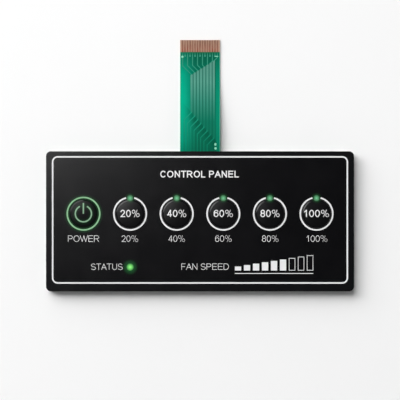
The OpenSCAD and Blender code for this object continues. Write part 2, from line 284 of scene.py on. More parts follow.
def grain(tree, height, depth, strength=1.0):
    """Turns a pattern into fine relief of the given depth in metres."""
    bump = tree.nodes.new("ShaderNodeBump")
    bump.inputs["Strength"].default_value = strength
    bump.inputs["Distance"].default_value = depth
    feed(tree, bump.inputs["Height"], height)
    return bump.outputs["Normal"]


def new_finish(name, **sockets):
    """A material with one Principled shader. The sockets are named with _ for a space."""
    material = bpy.data.materials.new(name)
    material.use_nodes = True
    tree = material.node_tree
    shader = tree.nodes["Principled BSDF"]
    for socket, value in sockets.items():
        feed(tree, shader.inputs[socket.replace("_", " ")], value)
    return material, tree, shader.inputs


def mottled_finish(name, first, second, patch, relief, rough, **sockets):
    """A plain sheet or metal: two near colours in patches, uneven gloss and a fine grain."""
    material, tree, shader = new_finish(name, **sockets)
    point = object_point(tree)
    patches = speckle(tree, point, patch)
    feed(tree, shader["Base Color"], mixed(tree, patches, first, second))
    feed(tree, shader["Roughness"], fade(tree, patches, *NOISE_SPAN, *rough))
    feed(tree, shader["Normal"], grain(tree, speckle(tree, point, patch / 4), relief))
    return material


print("pattern helpers ready")

# %% [markdown]
# ## Table and surroundings
# The keypad lies on a pale table. The surroundings are a studio with pale walls and a dark ceiling:
# dark overhead, because that is what the black film mirrors to a camera above it.

# %% Table and studio walls
FLOOR_SIZE = 5.0
FLOOR_DROP = 0.02 * MM
WORLD_ZENITH = 0.02
WORLD_HORIZON = 1.6
WALL_TOP = 0.5

world = bpy.data.worlds.new("studio")
world.use_nodes = True
bpy.context.scene.world = world
sky = world.node_tree
sky_point = sky.nodes.new("ShaderNodeTexCoord").outputs["Generated"]
sky_parts = sky.nodes.new("ShaderNodeSeparateXYZ")
feed(sky, sky_parts.inputs[0], sky_point)
feed(sky, sky.nodes["Background"].inputs["Strength"],
     fade(sky, sky_parts.outputs["Z"], 0.0, WALL_TOP, WORLD_HORIZON, WORLD_ZENITH))
sky.nodes["Background"].inputs["Color"].default_value = (1, 1, 1, 1)

table_bm = bmesh.new()
bmesh.ops.create_grid(table_bm, x_segments=1, y_segments=1, size=FLOOR_SIZE / 2)
bmesh.ops.translate(table_bm, verts=table_bm.verts, vec=(0, 0, -FLOOR_DROP))
table_mesh = bpy.data.meshes.new("table")
table_bm.to_mesh(table_mesh)
table_bm.free()
table = bpy.data.objects.new("table", table_mesh)
bpy.context.scene.collection.objects.link(table)
pale_table = mottled_finish("pale_table", (0.925, 0.925, 0.925), (0.935, 0.935, 0.935), 40 * MM,
                            0.001 * MM, (0.85, 0.95))
table_mesh.materials.append(pale_table)
print("table laid")

# %% [markdown]
# ## Making a piece
# Each piece is drawn in a bmesh, in metres and already in place. This helper closes it, turns its
# faces outwards and hands it over as an object at the origin with its finish.

# %% Helpers for meshes
SEAM = 1e-7
SMOOTH_ANGLE = math.radians(35)
CORNER_SEGMENTS = 10


def make_piece(name, bm, finish, smooth=False):
    """An object from a finished bmesh."""
    bmesh.ops.remove_doubles(bm, verts=bm.verts, dist=SEAM)
    bmesh.ops.recalc_face_normals(bm, faces=bm.faces)
    mesh = bpy.data.meshes.new(name)
    bm.to_mesh(mesh)
    bm.free()
    if smooth:
        mesh.shade_smooth()
        mesh.set_sharp_from_angle(angle=SMOOTH_ANGLE)
    mesh.materials.append(finish)
    piece = bpy.data.objects.new(name, mesh)
    bpy.context.scene.collection.objects.link(piece)
    return piece


def thicken(bm, rise):
    """Gives a flat or draped skin its thickness by drawing a copy of it straight up or down."""
    made = bmesh.ops.extrude_face_region(bm, geom=bm.faces[:])
    moved = [v for v in made["geom"] if isinstance(v, bmesh.types.BMVert)]
    bmesh.ops.translate(bm, verts=moved, vec=(0, 0, rise))
    return moved


def whole(bm):
    """All points, edges and faces of a bmesh, for the operators that cut it."""
    return bm.verts[:] + bm.edges[:] + bm.faces[:]


def spun(profile, centre, steps, angle=2 * math.pi):
    """A skin spun round an upright axis from a profile of (radius, height) points."""
    bm = bmesh.new()
    points = [bm.verts.new((centre.x + r, centre.y, z)) for r, z in profile]
    lines = [bm.edges.new(pair) for pair in zip(points, points[1:])]
    bmesh.ops.spin(bm, geom=points + lines, cent=(centre.x, centre.y, 0), axis=UP, angle=angle,
                   steps=steps, use_merge=angle == 2 * math.pi)
    bmesh.ops.remove_doubles(bm, verts=bm.verts, dist=SEAM)
    return bm


def rounded_sheet(low, high, corner, z):
    """A flat sheet with round corners as one face."""
    bm = bmesh.new()
    bmesh.ops.create_grid(bm, x_segments=1, y_segments=1, size=0.5)
    bmesh.ops.scale(bm, verts=bm.verts, vec=(high.x - low.x, high.y - low.y, 1))
    bmesh.ops.translate(bm, verts=bm.verts, vec=((low.x + high.x) / 2, (low.y + high.y) / 2, z))
    bmesh.ops.bevel(bm, geom=bm.verts[:], offset=corner, offset_type="OFFSET", segments=CORNER_SEGMENTS,
                    profile=0.5, affect="VERTICES", material=-1)
    return bm


print("mesh helpers ready")

# %% [markdown]
# ## Satin film
# The face film is black polyester with a fine hard-coat texture. It could be plain dark paint, but
# then it would look like card: the satin comes from a smooth-ish gloss over an almost black base,
# broken by a very fine grain. The margin outside the border line is painted a shade greyer, as a
# painted sheen for the light that the film's edge catches. The heated tools leave the crown of a
# raised key a little duller and polish its shoulder, which the mesh marks with a number at each
# point. Light from the lamps also leaks a little into the film round each window, so the finish
# carries a faint green glow that fades with the distance from a lamp.

# %% Glow in the film
CORNER_R = 2.4 * MM
RING_R = 8.12 * MM
RING_HALF_LINE = 0.37 * MM
WINDOW_R = 1.6 * MM
STATUS_WINDOW_R = 1.8 * MM
SIGN_R = 4.04 * MM
SIGN_LINE = 0.68 * MM
GLOW_GREEN = (0.10, 1.0, 0.26)
STATUS_GLOW = (4.2 * MM, 0.062)
WINDOW_GLOW = (2.9 * MM, 0.030)
RING_GLOW = (1.9 * MM, 0.028)
SIGN_GLOW = (1.9 * MM, 0.018)
POLISHED = 0.10
MARGIN_SHEEN_GREY = (0.0042, 0.0042, 0.0050)

print_low, print_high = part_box("white_print")
BORDER_MIDDLE = (print_low + print_high) / 2
BORDER_REACH = (print_high - print_low) / 2


def distance_from(tree, point, place):
    """Distance of the surface from an upright line through a place."""
    flat = tree.nodes.new("ShaderNodeVectorMath")
    flat.operation = "MULTIPLY"
    feed(tree, flat.inputs[0], point)
    flat.inputs[1].default_value = (1, 1, 0)
    gap = tree.nodes.new("ShaderNodeVectorMath")
    gap.operation = "DISTANCE"
    feed(tree, gap.inputs[0], flat.outputs[0])
    gap.inputs[1].default_value = (place.x, place.y, 0)
    return gap.outputs["Value"]


def lamp_glow(tree, point):
    """Strength of the green light in the film round the windows, the power ring and the power sign."""
    reach, level = STATUS_GLOW
    total = fade(tree, distance_from(tree, point, lamp_at["status"]), STATUS_WINDOW_R, reach, level, 0.0)
    reach, level = WINDOW_GLOW
    for key in FAN_KEYS:
        near = fade(tree, distance_from(tree, point, lamp_at[key]), WINDOW_R, reach, level, 0.0)
        total = number(tree, "ADD", total, near)
    from_key = distance_from(tree, point, key_at["power"])
    for line_r, half_line, (reach, level) in ((RING_R, RING_HALF_LINE, RING_GLOW),
                                              (SIGN_R, SIGN_LINE / 2, SIGN_GLOW)):
        off_line = number(tree, "ABSOLUTE", number(tree, "SUBTRACT", from_key, line_r))
        total = number(tree, "ADD", total, fade(tree, off_line, half_line, reach, level, 0.0))
    return total


print("glow helpers ready")

# %% [markdown]
# Now the film itself. The flat sheet, the five plain keys and the lit power key share one recipe with
# a little more or less gloss, so that they read as one film.

# %% Film finishes


def outside_border(tree, point):
    """One on the narrow margin outside the border line and nought inside it."""
    parts = tree.nodes.new("ShaderNodeSeparateXYZ")
    feed(tree, parts.inputs[0], point)
    across = number(tree, "ABSOLUTE", parts.outputs["X"])
    along = number(tree, "ABSOLUTE", number(tree, "SUBTRACT", parts.outputs["Y"], BORDER_MIDDLE[1]))
    return number(tree, "MAXIMUM", number(tree, "GREATER_THAN", across, BORDER_REACH[0]),
                  number(tree, "GREATER_THAN", along, BORDER_REACH[1]))


def attribute(tree, name):
    """A number that the mesh carries at each point."""
    value = tree.nodes.new("ShaderNodeAttribute")
    value.attribute_name = name
    return value.outputs["Fac"]


def satin_film(name, smooth, rough, gloss):
    """Black film with a fine texture, a margin painted greyer as sheen, and the light that leaks into it.
    """
    film, tree, shader = new_finish(name, Emission_Color=GLOW_GREEN, Specular_IOR_Level=gloss)
    point = object_point(tree)
    cloud = speckle(tree, point, 9 * MM)
    black = mixed(tree, cloud, (0.0022, 0.0022, 0.0029), (0.0032, 0.0032, 0.0039))
    # The margin outside the border is painted greyer: a painted sheen for the light its edge catches.
    feed(tree, shader["Base Color"], mixed(tree, outside_border(tree, point), black, MARGIN_SHEEN_GREY))
    satin = fade(tree, cloud, *NOISE_SPAN, smooth, rough)
    feed(tree, shader["Roughness"], fade(tree, attribute(tree, "polish"), 0.0, 1.0, satin, POLISHED))
    feed(tree, shader["Normal"], grain(tree, speckle(tree, point, 0.12 * MM, 1.0), 0.0012 * MM))
    feed(tree, shader["Emission Strength"], lamp_glow(tree, point))
    return film


film_finish = satin_film("satin_film", 0.23, 0.26, 0.5)
key_finish = satin_film("pressed_film", 0.29, 0.32, 0.46)
lit_key_finish = satin_film("lit_key_film", 0.29, 0.32, 0.27)
print("film finishes ready")

# %% [markdown]
# ## Face film
# The film is one sheet on the real keypad. Each key bends it when it is pressed, and a piece can bend
# between two bodies only, so the sheet is modelled with six round openings and each raised key closes
# its own opening. The joints lie under the printed rings. The outline is a rectangle with bevelled
# corner points; a few insets give the cut edge a slight roll; triangle_fill then closes the face
# round the holes.

# %% Flat sheet of the face
EDGE_ROLL = [0.15 * MM, 0.35 * MM, 0.6 * MM, 0.9 * MM]
EDGE_FALL = 0.006 * MM
KEY_SEGMENTS = 96

sheet_bm = rounded_sheet(panel_low, panel_high, CORNER_R, face_z)
inner_face = sheet_bm.faces[:]
roll_w = sum(EDGE_ROLL)
from_edge = 0.0
for v in sheet_bm.verts:
    v.co.z = face_z - EDGE_FALL
for step in EDGE_ROLL:
    before = set(sheet_bm.verts)
    bmesh.ops.inset_region(sheet_bm, faces=inner_face, thickness=step, use_boundary=True,
                           use_even_offset=True)
    from_edge += step
    for v in set(sheet_bm.verts) - before:
        v.co.z = face_z - EDGE_FALL * (1 - from_edge / roll_w) ** 2
field_edges = list(inner_face[0].edges)
bmesh.ops.delete(sheet_bm, geom=inner_face, context="FACES_ONLY")
for key in KEYS:
    place = Matrix.Translation((key_at[key].x, key_at[key].y, face_z))
    hole = bmesh.ops.create_circle(sheet_bm, cap_ends=False, segments=KEY_SEGMENTS, radius=RING_R,
                                   matrix=place)
    field_edges += {edge for v in hole["verts"] for edge in v.link_edges}
bmesh.ops.triangle_fill(sheet_bm, use_beauty=True, edges=field_edges, normal=UP)
for v in thicken(sheet_bm, -film_t):
    v.co.z = film_low.z
face_sheet = make_piece("face_sheet", sheet_bm, film_finish)
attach(face_sheet, "panel")
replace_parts(face_sheet, "graphic_overlay")
print("face sheet:", len(face_sheet.data.polygons), "faces")

# %% [markdown]
# ## Raised keys
# A raised key is pressed into the film between two heated tools: a shallow crown, a round shoulder
# and a flat skirt. Its section is a few points on the three arcs, spun round the key's axis, and
# solidify gives it the film's thickness. The key film is left at rest, with its place baked into its
# mesh.

# %% Six key films
CROWN_STEPS = 9
SHOULDER_STEPS = 8


def key_profile():
    """Points of the film's upper side from the middle of a key to the end of its skirt."""
    crown = [CROWN_EDGE * i / CROWN_STEPS for i in range(CROWN_STEPS)]
    soft = [CROWN_EDGE + (soft_edge - CROWN_EDGE) * i / SHOULDER_STEPS for i in range(SHOULDER_STEPS)]
    tight = [soft_edge + (key_foot - soft_edge) * i / SHOULDER_STEPS for i in range(SHOULDER_STEPS)]
    skirt = [key_foot, (key_foot + RING_R) / 2, RING_R]
    return [(r, face_z + film_rise(r)) for r in crown + soft + tight + skirt]


def follow_key(piece):
    """Bakes a piece's place into its mesh; it is not made to bend with a key here."""
    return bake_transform(piece)


for key in KEYS:
    key_bm = spun(key_profile(), key_at[key], KEY_SEGMENTS)
    bmesh.ops.recalc_face_normals(key_bm, faces=key_bm.faces)
    if sum(face.normal.z for face in key_bm.faces) < 0:
        bmesh.ops.reverse_faces(key_bm, faces=key_bm.faces)
    bmesh.ops.solidify(key_bm, geom=key_bm.faces[:], thickness=film_t)
    key_film_finish = lit_key_finish if key == "power" else key_finish
    key_film = make_piece("key_film_" + key, key_bm, key_film_finish, smooth=True)
    polish = key_film.data.attributes.new("polish", "FLOAT", "POINT")
    for v in key_film.data.vertices:
        polish.data[v.index].value = float((v.co.xy - key_at[key].xy).length > CROWN_EDGE + SEAM)
    follow_key(key_film)
    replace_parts(key_film, "graphic_overlay")
print("key films:", len(KEYS), "of", len(key_film.data.polygons), "faces")

# %% [markdown]
# ## White ink
# The border, the open rings and the level graph are thin layers of opaque screen ink. Their solids
# already have the right outline, so they only get the finish: a slightly uneven white with the dry,
# grainy gloss of ink that was pressed through a mesh.

# %% White ink on the solids


def dress(finish, *names):
    """Gives solids that stay as they are a new finish."""
    for name in names:
        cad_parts[name].data.materials.clear()
        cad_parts[name].data.materials.append(finish)


white_ink = mottled_finish("white_ink", (0.78, 0.78, 0.79), (0.86, 0.86, 0.86), 0.6 * MM, 0.002 * MM,
                           (0.45, 0.6))
dress(white_ink, "white_print")
print("white ink on the border, rings and graph")

# %% [markdown]
# ## Lettering
# The words are generic captions in a plain sans serif. Blender's own font has other proportions than
# the even, upright letters on such panels, so each letter is drawn as a sign painter would: strokes
# of one pen width in a unit box, with bows for the round parts. The table gives each letter its
# advance and its own width, in a unit that is fitted to the word, and then its strokes.

# %% Strokes of the letters
BOW_STEP = 12
LEAST_STEPS = 6


def bow(x, y, reach_x, reach_y, start=0, end=360):
    """Points of an arc in a letter's unit box, between two angles in degrees."""
    steps = max(LEAST_STEPS, round(abs(end - start) / BOW_STEP))
    turns = [math.radians(start + (end - start) * i / steps) for i in range(steps + 1)]
    return [(x + reach_x * math.cos(a), y + reach_y * math.sin(a)) for a in turns]


LETTERS = {
    " ": (0.39, 0.0, []),
    "A": (0.93, 0.92, [[(-0.03, -0.08), (0.5, 1), (1.03, -0.08)], [(0.2, 0.34), (0.8, 0.34)]]),
    "C": (1.01, 0.87, [bow(0.5, 0.5, 0.5, 0.5, 46, 314)]),
    "D": (1.01, 0.84, [[(0, 0), (0, 1)] + bow(0.42, 0.5, 0.58, 0.5, 90, -90) + [(0, 0)]]),
    "E": (0.93, 0.75, [[(1, 1), (0, 1), (0, 0), (1, 0)], [(0, 0.52), (0.92, 0.52)]]),
    "F": (0.85, 0.68, [[(1, 1), (0, 1), (0, 0)], [(0, 0.5), (0.86, 0.5)]]),
    "L": (0.78, 0.63, [[(0, 1), (0, 0), (1, 0)]]),
    "N": (1.01, 0.79, [[(0, 0), (0, 1), (1, 0), (1, 1)]]),
    "O": (1.09, 0.96, [bow(0.5, 0.5, 0.5, 0.5)]),
    "P": (0.93, 0.76, [[(0, 0), (0, 1)], [(0, 1)] + bow(0.5, 0.735, 0.5, 0.265, 90, -90) + [(0, 0.47)]]),
    "R": (1.01, 0.88, [[(0, 0), (0, 1)], [(0, 1)] + bow(0.5, 0.74, 0.42, 0.26, 90, -90) + [(0, 0.48)],
                       [(0.5, 0.48), (0.98, -0.08)]]),
    "S": (0.93, 0.80, [bow(0.48, 0.745, 0.44, 0.255, 26, 270) + bow(0.5, 0.245, 0.5, 0.245, 90, -154)]),
    "T": (0.85, 0.79, [[(0, 1), (1, 1)], [(0.5, 1), (0.5, 0)]]),
    "U": (1.01, 0.78, [[(0, 1)] + bow(0.5, 0.38, 0.5, 0.38, 180, 360) + [(1, 1)]]),
    "W": (1.32, 1.28, [[(-0.02, 1.06), (0.27, 0), (0.5, 1), (0.73, 0), (1.02, 1.06)]]),
    "0": (0.78, 0.66, [bow(0.5, 0.5, 0.5, 0.5)]),
    "1": (0.78, 0.40, [[(0, 0.72), (0.85, 1.04), (0.85, 0)]]),
    "2": (0.78, 0.66, [bow(0.48, 0.71, 0.46, 0.29, 168, -32) + [(0.05, 0)], [(0, 0), (1, 0)]]),
    "4": (0.78, 0.70, [[(0.72, 0), (0.72, 1)], [(0.72, 1.02), (0.04, 0.27)], [(0, 0.27), (1, 0.27)]]),
    "6": (0.78, 0.66, [bow(0.5, 0.32, 0.5, 0.32), bow(0.53, 0.58, 0.53, 0.42, 42, 180) + [(0, 0.32)]]),
    "8": (0.78, 0.66, [bow(0.5, 0.76, 0.43, 0.24), bow(0.5, 0.265, 0.5, 0.265)]),
    "%": (1.24, 1.08, [bow(0.2, 0.76, 0.2, 0.24), bow(0.8, 0.24, 0.2, 0.24), [(0.7, 1.05), (0.3, -0.05)]]),
}
print("letters in the table:", len(LETTERS))

# %% [markdown]
# A stroke is a short edge that is extruded from point to point along its path, with mitred corners.
# The strokes of one letter lie a hair above each other, so that no two faces fill the same place. The
# whole word is then trimmed level at its foot and its cap line, which gives slanted strokes their
# flat ends.

# %% A pen for flat strokes
LAYER_STEP = 0.0008 * MM
PERCENT_PEN = 0.64


def stroke_sides(path, pen):
    """Left and right edge points of an even line along a path."""
    if (path[0] - path[-1]).length < SEAM:
        chain = [path[-2], *path, path[1]]
    else:
        start = path[0] + (path[0] - path[1]).normalized() * pen / 2
        end = path[-1] + (path[-1] - path[-2]).normalized() * pen / 2
        chain = [2 * start - path[0], start, *path[1:-1], end, 2 * end - path[-1]]
    sides = []
    for before, point, after in zip(chain, chain[1:], chain[2:]):
        arriving = (point - before).normalized()
        leaving = (after - point).normalized()
        across = Vector((-arriving.y - leaving.y, arriving.x + leaving.x)) / (1 + arriving.dot(leaving))
        sides.append((point + across * pen / 2, point - across * pen / 2))
    return sides


def draw_stroke(bm, path, pen, z):
    """Draws a flat line by extruding a short edge along a path."""
    sides = stroke_sides(path, pen)
    ends = [bm.verts.new((*side, z)) for side in sides[0]]
    edge = bm.edges.new(ends)
    for step in sides[1:]:
        grown = bmesh.ops.extrude_edge_only(bm, edges=[edge])["geom"]
        fresh = [item for item in grown if isinstance(item, bmesh.types.BMVert)]
        if (fresh[0].co - ends[0].co).length > SEAM:
            fresh.reverse()
        for v, side in zip(fresh, step):
            v.co.xy = side
        ends = fresh
        edge = bm.edges.get(fresh)


def letters(words, pen_share, centre, width, height):
    """Flat words that fill a box round a centre on the face. The pen is a share of the cap height."""
    pen = pen_share * height
    foot = centre[1] - height / 2
    bearings = [(LETTERS[c][0] - LETTERS[c][1]) / 2 for c in (words[0], words[-1])]
    unit = width / (sum(LETTERS[c][0] for c in words) - sum(bearings))
    x = centre[0] - width / 2 - bearings[0] * unit
    bm = bmesh.new()
    for letter in words:
        advance, ink, strokes = LETTERS[letter]
        line = pen * PERCENT_PEN if letter == "%" else pen
        left = x + (advance - ink) / 2 * unit + line / 2
        for layer, stroke in enumerate(strokes):
            path = [Vector((left + u * (ink * unit - line), foot + line / 2 + v * (height - line)))
                    for u, v in stroke]
            draw_stroke(bm, path, line, face_z + layer * LAYER_STEP)
        x += advance * unit
    for y, way in ((foot, -1), (foot + height, 1)):
        bmesh.ops.bisect_plane(bm, geom=whole(bm), dist=SEAM,
                               plane_co=(0, y, 0), plane_no=(0, way, 0), clear_outer=True)
    return bm


print("pen ready")

# %% [markdown]
# The flat captions lie on the face. On the real panel they are printed in one pass with the border,
# so they share its ink. Each is set by its middle, its width and its cap height in millimetres, which
# a maker would read off the artwork. The pen is a share of the cap height: thin for captions, heavier
# for the title.

# %% Captions on the face
PLAIN = 0.072
BOLD = 0.13
HEAVY = 0.162
LEVEL_SPREAD = 1.004
LEVEL_Y = -8.65
LEVEL_HEIGHT = 3.2
SHORT_LEVEL = 8.2
LONG_LEVEL = 10.4

CAPTIONS = [
    ("title", "CONTROL PANEL", HEAVY, -0.25, 23.6, 39.2, 3.42),
    ("caption_power", "POWER", PLAIN, -58.15, -8.67, 15.7, 3.18),
    ("caption_status", "STATUS", PLAIN, -46.55, -22.72, 15.8, 3.12),
    ("caption_fan", "FAN SPEED", PLAIN, 2.55, -22.66, 23.7, 3.12),
]
for key in FAN_KEYS:
    width = LONG_LEVEL if key == "100" else SHORT_LEVEL
    level_x = key_at[key].x / MM * LEVEL_SPREAD
    CAPTIONS.append(("caption_" + key, key + "%", PLAIN, level_x, LEVEL_Y, width, LEVEL_HEIGHT))
for name, words, weight, x, y, width, height in CAPTIONS:
    words_bm = letters(words, weight, (x * MM, y * MM), width * MM, height * MM)
    thicken(words_bm, ink_t)
    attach(make_piece(name, words_bm, white_ink), "panel")
print("captions:", len(CAPTIONS))

# %% [markdown]
# The letters on a key are printed before the key is formed, so they follow its crown. A flat word is
# cut into small faces and each point is lifted to the film's height under it. The word then rides
# with its key.

# %% Letters on the keys
DRAPE_STEP = 1.2 * MM
KEY_WORDS_LIFT = Vector((0, 0.14 * MM, 0))
KEY_WORDS_HEIGHT = 3.65 * MM
SHORT_KEY_WORDS = 9.6 * MM
LONG_KEY_WORDS = 12.4 * MM


def drape(bm, key):
    """Cuts a flat print into small faces and lays them on the film of a key."""
    reach = int(math.ceil(key_foot / DRAPE_STEP))
    for axis in (Vector((1, 0, 0)), Vector((0, 1, 0))):
        for i in range(-reach, reach + 1):
            bmesh.ops.bisect_plane(bm, geom=whole(bm), dist=SEAM,
                                   plane_co=key_at[key] + axis * DRAPE_STEP * i, plane_no=axis)
    for v in bm.verts:
        v.co.z += film_rise((v.co.xy - key_at[key].xy).length)


for key in FAN_KEYS:
    width = LONG_KEY_WORDS if key == "100" else SHORT_KEY_WORDS
    words_bm = letters(key + "%", BOLD, key_at[key] + KEY_WORDS_LIFT, width, KEY_WORDS_HEIGHT)
    drape(words_bm, key)
    thicken(words_bm, ink_t)
    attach(make_piece("key_letters_" + key, words_bm, white_ink), "key_" + key)
print("key letters:", len(FAN_KEYS))

# %% [markdown]
# ## Lit green ink
# The power ring, the power sign and the lamp windows are see-through green ink with a lamp behind
# them. Real light from tiny lamps inside the panel would be slow and noisy to render, so the ink
# itself glows: the colour and strength are what the eye sees on the real panel.

# %% Power ring and power sign
RING_GREEN = shade(134, 184, 140)
SIGN_GREEN = shade(130, 168, 137)
SIGN_GAP = math.radians(52)
SIGN_BAR = (0.7 * MM, 5.4 * MM)
SIGN_SEGMENTS = 64
UNLIT_GREEN = (0.012, 0.03, 0.014)


def glowing_ink(name, colour, low, high):
    """Green ink that is lit from behind, a little unevenly."""
    ink, tree, shader = new_finish(name, Base_Color=UNLIT_GREEN, Roughness=0.5, Emission_Color=colour)
    uneven = speckle(tree, object_point(tree), 2.5 * MM)
    feed(tree, shader["Emission Strength"], fade(tree, uneven, *NOISE_SPAN, low, high))
    return ink


def arc_line(centre, r, line, angle, steps, turn=0.0):
    """A flat line of even width along an arc on the face, from a turn onwards."""
    bm = spun([(r - line / 2, face_z), (r + line / 2, face_z)], centre, steps, angle)
    bmesh.ops.rotate(bm, verts=bm.verts, cent=(centre.x, centre.y, 0), matrix=Matrix.Rotation(turn, 3, "Z"))
    return bm


power_at = key_at["power"]
ring_bm = arc_line(power_at, RING_R, 2 * RING_HALF_LINE, 2 * math.pi, KEY_SEGMENTS)
thicken(ring_bm, ink_t)
ring_glow = glowing_ink("ring_glow", RING_GREEN, 0.88, 1.06)
power_ring = make_piece("power_ring", ring_bm, ring_glow)
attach(power_ring, "panel")
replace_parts(power_ring, "green_windows")

sign_bm = arc_line(power_at, SIGN_R, SIGN_LINE, 2 * math.pi - SIGN_GAP, SIGN_SEGMENTS,
                   math.pi / 2 + SIGN_GAP / 2)
bar = bmesh.ops.create_grid(sign_bm, x_segments=1, y_segments=1, size=0.5)["verts"]
bmesh.ops.scale(sign_bm, verts=bar, vec=(*SIGN_BAR, 1))
bmesh.ops.translate(sign_bm, verts=bar, vec=(power_at.x, power_at.y + SIGN_BAR[1] / 2, face_z))
drape(sign_bm, "power")
thicken(sign_bm, ink_t)
sign_glow = glowing_ink("sign_glow", SIGN_GREEN, 0.85, 1.05)
power_sign = make_piece("power_sign", sign_bm, sign_glow)
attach(power_sign, "key_power")
print("power ring and sign ready")

# %% [markdown]
# A lamp window is a round spot of the same ink. It could be a flat disc, but a key's window lies half
# on the shoulder of the key, so the disc is spun from rings of points that are lifted to the film. A
# window is brightest over its lamp, so its points carry a glow value that falls to the rim.

# %% Lamp windows
WINDOW_RINGS = 8
WINDOW_SEGMENTS = 40


def window_glow(name, rim, half, centre):
    """Window ink whose light falls from the middle to the rim."""
    ink, tree, shader = new_finish(name, Base_Color=UNLIT_GREEN, Roughness=0.45, Emission_Strength=1.0)
    glow = attribute(tree, "glow")
    inner = mixed(tree, fade(tree, glow, 0.45, 1.0), half, centre)
    feed(tree, shader["Emission Color"], mixed(tree, fade(tree, glow, 0.0, 0.55), rim, inner))
    return ink


def window_disc(name, lamp, r, key, finish):
    """A round window of ink over a lamp, which climbs the edge of a key if one is named."""
    spoke = [(r * i / WINDOW_RINGS, face_z) for i in range(WINDOW_RINGS + 1)]
    bm = spun(spoke, lamp_at[lamp], WINDOW_SEGMENTS)
    if key:
        for v in bm.verts:
            v.co.z = face_z + film_rise((v.co.xy - key_at[key].xy).length)
    thicken(bm, ink_t)
    window = make_piece(name, bm, finish, smooth=True)
    glow = window.data.attributes.new("glow", "FLOAT", "POINT")
    for v in window.data.vertices:
        glow.data[v.index].value = 1 - (v.co.xy - lamp_at[lamp].xy).length / r
    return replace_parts(window, "green_windows")


key_window = window_glow("window_glow", shade(20, 70, 38), shade(74, 144, 99), shade(108, 192, 140))
status_glow = window_glow("status_glow", shade(44, 120, 48), shade(110, 212, 100), shade(152, 252, 130))
for key in FAN_KEYS:
    follow_key(window_disc("window_" + key, key, WINDOW_R, key, key_window))
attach(window_disc("window_status", "status", STATUS_WINDOW_R, None, status_glow), "panel")
print("windows:", len(FAN_KEYS) + 1)

# %% [markdown]
# ## Flexible circuit and tail
# The circuit is one thin laminate under a green cover coat. Its tail leaves the panel level, goes
# down in one smooth double bend and lies flat on the table to the tip. The bend follows the same
# smooth step as the solid's, so the tracks of the solid lie on the sheet.

# %% Places on the tail
tail_low, tail_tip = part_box("tail_stiffener")
contact_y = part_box("contact_fingers")[0].y
circuit_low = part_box("flex_circuit")[0].z
circuit_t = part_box("dome_spacer")[0].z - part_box("circuit_adhesive")[1].z
TAIL_LEAD = 4 * MM
TAIL_FLAT = 15 * MM
BEND_STEPS = 48

panel_circuit_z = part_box("circuit_adhesive")[1].z
bend_start = panel_high.y + TAIL_LEAD
bend_end = tail_tip.y - TAIL_FLAT
tail_drop = panel_circuit_z - circuit_low


def tail_under(y):
    """Height of the tail's underside at a distance from the panel's middle."""
    t = min(max((y - bend_start) / (bend_end - bend_start), 0), 1)
    return panel_circuit_z - tail_drop * t * t * (3 - 2 * t)


print("tail drops", round(tail_drop / MM, 3), "mm, circuit", round(circuit_t / MM, 3), "mm thick")

# %% [markdown]
# The sheet could be bent by a modifier, but an extrusion keeps its edges exact. The sheet inside the
# panel is cut at both sides of the tail, and the edge between the cuts is extruded from station to
# station. A copy drawn straight up gives the laminate its thickness.

# %% Circuit sheet with its tail
sheet_bm = rounded_sheet(panel_low, panel_high, CORNER_R, panel_circuit_z)
for side in (tail_low.x, tail_tip.x):
    bmesh.ops.bisect_plane(sheet_bm, geom=whole(sheet_bm), dist=SEAM,
                           plane_co=(side, 0, 0), plane_no=(1, 0, 0))
mouth = [edge for edge in sheet_bm.edges if edge.is_boundary
         and all(abs(v.co.y - panel_high.y) < SEAM and abs(v.co.x) < tail_tip.x + SEAM for v in edge.verts)]
stations = [bend_start + (bend_end - bend_start) * i / BEND_STEPS for i in range(BEND_STEPS + 1)]
for y in stations + [contact_y, tail_tip.y]:
    grown = bmesh.ops.extrude_edge_only(sheet_bm, edges=mouth)["geom"]
    for v in [v for v in grown if isinstance(v, bmesh.types.BMVert)]:
        v.co.y = y
        v.co.z = tail_under(y)
    mouth = [edge for edge in grown if isinstance(edge, bmesh.types.BMEdge)
             and all(abs(v.co.y - y) < SEAM for v in edge.verts)]
thicken(sheet_bm, circuit_t)
print("circuit sheet:", len(sheet_bm.faces), "faces")

# %% [markdown]
# The cover coat is glossy. It is darker where the tracks crowd together and greyer over the field of
# wide tracks, it carries a painted highlight along its cut edges, and it ends before the bare contacts.
# It could be painted on an image, but a few fades along and across the tail give the same bands and
# stay sharp at any size.

# %% Zones of the cover coat
FIELD_LEFT = -4.75 * MM
FIELD_RIGHT = 7.45 * MM
FIELD_TOP = (0.616, 76.2 * MM)
FIELD_FOOT = (-1.161, 49.7 * MM)
SOFT_EDGE = 0.12 * MM
SOFT_SLANT = 0.4 * MM
SOFT_FOOT = 0.5 * MM
BEND_REACH = (6.5 * MM, 2.5 * MM)
BEND_SHARE = 0.55


def field_zone(tree, parts):
    """One inside the slanted field of wide tracks and nought outside."""
    x, y = parts.outputs["X"], parts.outputs["Y"]
    zone = number(tree, "MULTIPLY", fade(tree, x, FIELD_LEFT - SOFT_EDGE, FIELD_LEFT + SOFT_EDGE),
                  fade(tree, x, FIELD_RIGHT + SOFT_EDGE, FIELD_RIGHT - SOFT_EDGE))
    for (slope, start), side in ((FIELD_TOP, -1), (FIELD_FOOT, 1)):
        past = number(tree, "SUBTRACT", y, number(tree, "MULTIPLY_ADD", x, slope, start))
        zone = number(tree, "MULTIPLY", zone, fade(tree, past, -side * SOFT_SLANT, side * SOFT_SLANT))
    return zone


def bend_zone(tree, parts):
    """How far the coat darkens below the field, where the tracks crowd together in their lower bends."""
    slope, start = FIELD_FOOT
    foot = number(tree, "MULTIPLY_ADD", parts.outputs["X"], slope, start)
    below = number(tree, "SUBTRACT", foot, parts.outputs["Y"])
    past_foot = fade(tree, below, -SOFT_FOOT, SOFT_FOOT)
    return number(tree, "MULTIPLY", past_foot, fade(tree, below, *BEND_REACH, 0.0, BEND_SHARE))


